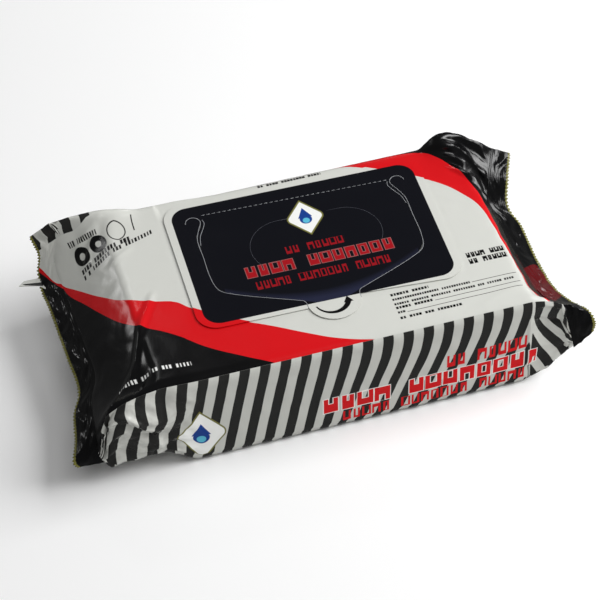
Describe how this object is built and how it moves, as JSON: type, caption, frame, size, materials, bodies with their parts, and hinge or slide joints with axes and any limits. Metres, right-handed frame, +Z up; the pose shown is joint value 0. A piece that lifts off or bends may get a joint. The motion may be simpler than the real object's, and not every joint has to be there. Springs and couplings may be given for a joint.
{
  "type": "wet wipes pack",
  "caption": "Soft flow-wrapped film pack of moist wipes with crimped zigzag end seals and a die-cut resealable label on its top.",
  "frame": {"origin": "centre of the folded stack's underside, on the surface that the pack lies on", "axes": "+X along the pack's length towards the end with the turned-down seal corner, +Y to the back, +Z up through the label"},
  "size_m": [0.2549, 0.12, 0.0631],
  "materials": {
    "printed_film": "glossy printed laminate: warm grey, red and black fields, with black stripes on the sides",
    "label_film": "glossy dark adhesive label with a clear margin"
  },
  "bodies": {
    "root": {"pouch": "printed_film", "reseal_label": "label_film"}
  },
  "joints": []
}
